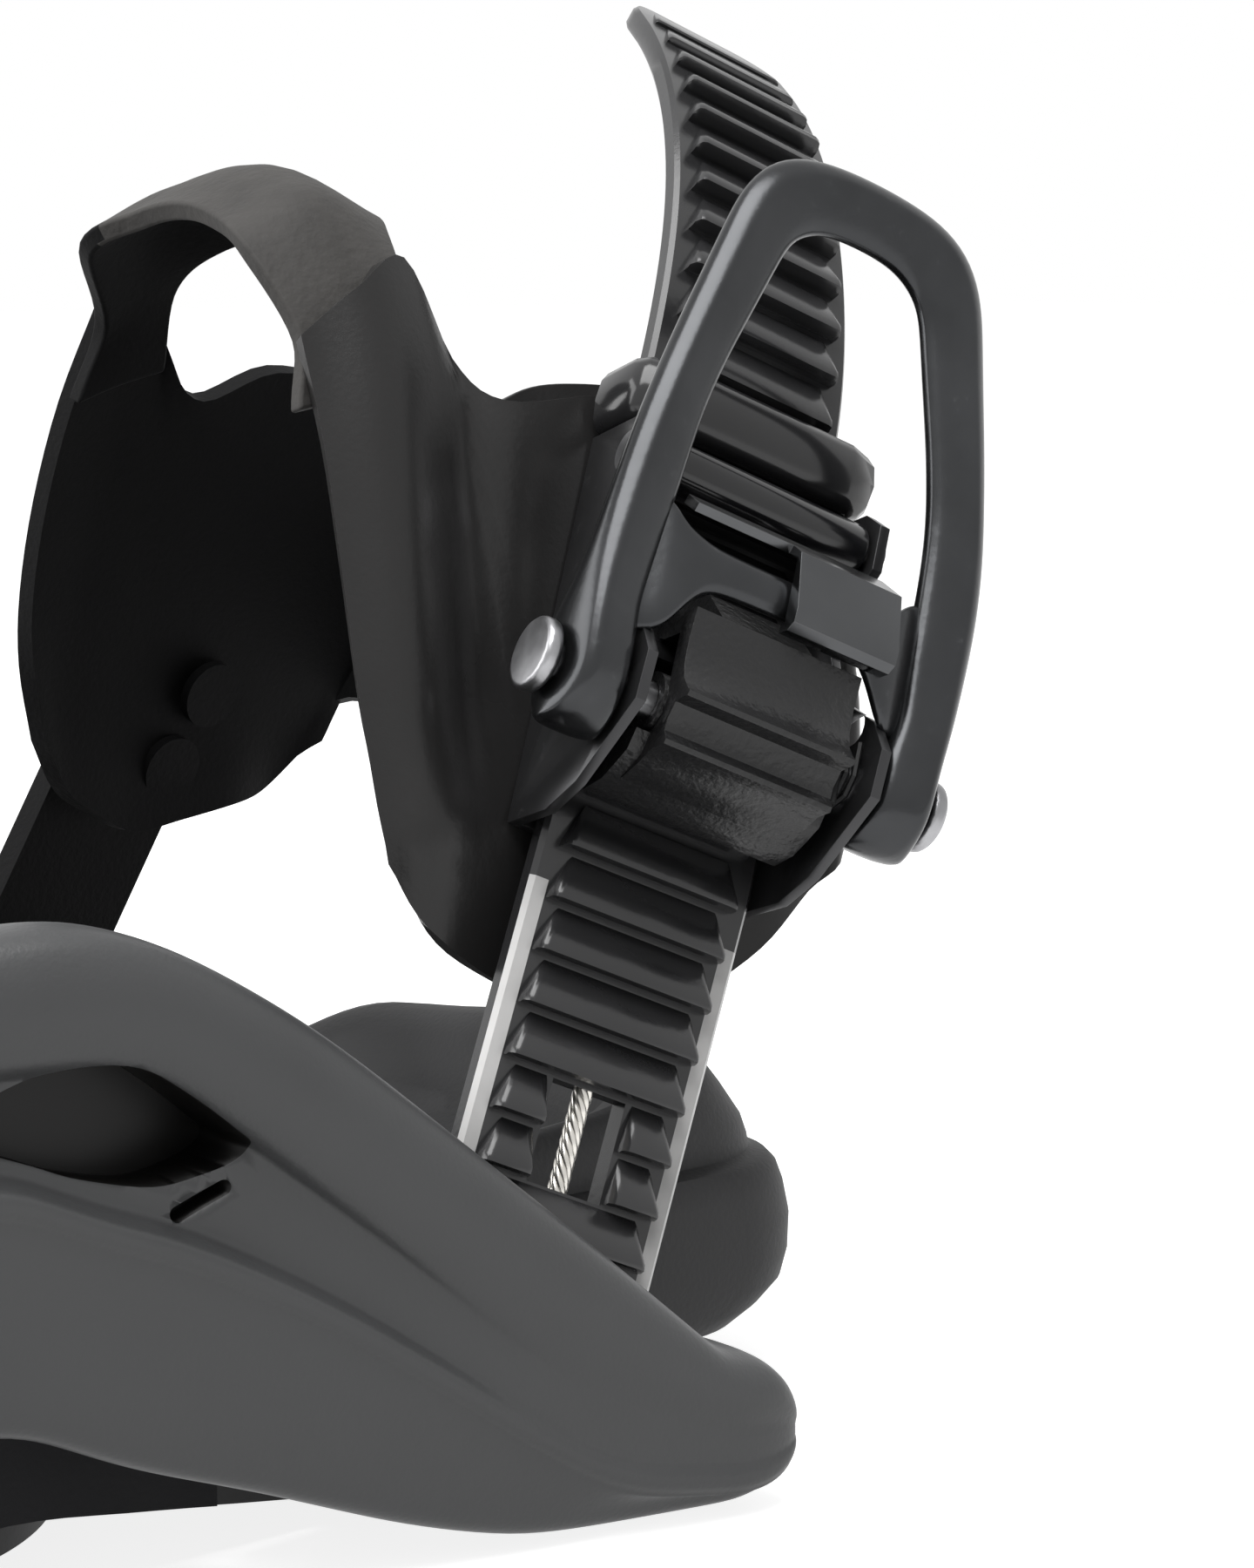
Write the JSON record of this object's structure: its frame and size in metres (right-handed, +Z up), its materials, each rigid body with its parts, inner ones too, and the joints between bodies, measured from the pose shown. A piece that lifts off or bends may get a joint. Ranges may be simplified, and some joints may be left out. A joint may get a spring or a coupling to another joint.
{
  "type": "snowboard binding toe assembly with ratchet buckle",
  "caption": "Binding base tray with mounting disc, toe ramp and a toe strap: a moulded toe cap on a toothed ladder that a ratchet buckle with a looped lever pulls in and holds.",
  "frame": {"origin": "centre of the mounting disc's four screw holes, on the board's surface", "axes": "+X towards the toe, +Y across to the side without the buckle, +Z up from the board"},
  "size_m": [0.2263, 0.138, 0.1543],
  "materials": {
    "chassis": "satin, fine grain",
    "base_pad": "matte foam",
    "mounting_disc": "matte",
    "footbed": "matte foam",
    "toe_ramp": "matte",
    "ramp_screws": "plain",
    "anchor_screws": "plain",
    "anchor_inserts": "plain",
    "ladder": "semi gloss",
    "cable": "bright",
    "toe_cap": "satin",
    "ladder_keeper": "satin",
    "far_strap": "matte",
    "far_strap_rivets": "plain",
    "buckle_frame": "satin",
    "buckle_screws": "plain",
    "lever_pin": "plain",
    "roller_pin": "plain",
    "roller": "gloss",
    "release_pawl": "fine grain",
    "release_spring": "bright",
    "lever": "satin, worn edges",
    "tongue_plate": "satin",
    "drive_pin": "plain",
    "drive_pawl": "plain",
    "drive_spring": "bright"
  },
  "bodies": {
    "base": {"chassis": "chassis", "base_pad": "base_pad", "mounting_disc": "mounting_disc", "footbed": "footbed", "toe_ramp": "toe_ramp", "ramp_screws": "ramp_screws", "anchor_screws": "anchor_screws", "anchor_inserts": "anchor_inserts"},
    "strap": {"ladder": "ladder", "cable": "cable", "toe_cap": "toe_cap", "ladder_keeper": "ladder_keeper", "far_strap": "far_strap", "far_strap_rivets": "far_strap_rivets", "buckle_frame": "buckle_frame", "buckle_screws": "buckle_screws", "lever_pin": "lever_pin", "roller_pin": "roller_pin"},
    "roller": {"roller": "roller"},
    "release_pawl": {"release_pawl": "release_pawl", "release_spring": "release_spring"},
    "lever": {"lever": "lever", "tongue_plate": "tongue_plate", "drive_pin": "drive_pin"},
    "drive_pawl": {"drive_pawl": "drive_pawl", "drive_spring": "drive_spring"}
  },
  "joints": [
    {"name": "strap_swing", "type": "hinge", "parent": "base", "child": "strap", "pos_m": [0.057, 0, 0.017], "axis": [0, 1, 0], "range_deg": [-20, 12]},
    {"name": "lever_turn", "type": "hinge", "parent": "strap", "child": "lever", "pos_m": [0.08298, -0.05785, 0.07627], "axis": [0.8891, -0.2264, -0.3978], "range_deg": [0, 75]},
    {"name": "release_press", "type": "hinge", "parent": "strap", "child": "release_pawl", "pos_m": [0.08298, -0.05785, 0.07627], "axis": [0.8891, -0.2264, -0.3978], "range_deg": [0, 10], "stiffness_Nm_per_rad": 0.2, "springref_deg": -17.19, "deforming": ["release_spring"]},
    {"name": "drive_pawl_turn", "type": "hinge", "parent": "lever", "child": "drive_pawl", "pos_m": [0.08407, -0.05201, 0.0754], "axis": [0.8891, -0.2264, -0.3978], "range_deg": [-75, 0], "deforming": ["drive_spring"]},
    {"name": "roller_spin", "type": "hinge", "parent": "strap", "child": "roller", "pos_m": [0.09561, -0.04629, 0.09794], "axis": [0.8891, -0.2264, -0.3978], "continuous": true}
  ],
  "couplings": [
    {"joint": "drive_pawl_turn", "follows": "lever_turn", "ratio": -1}
  ]
}
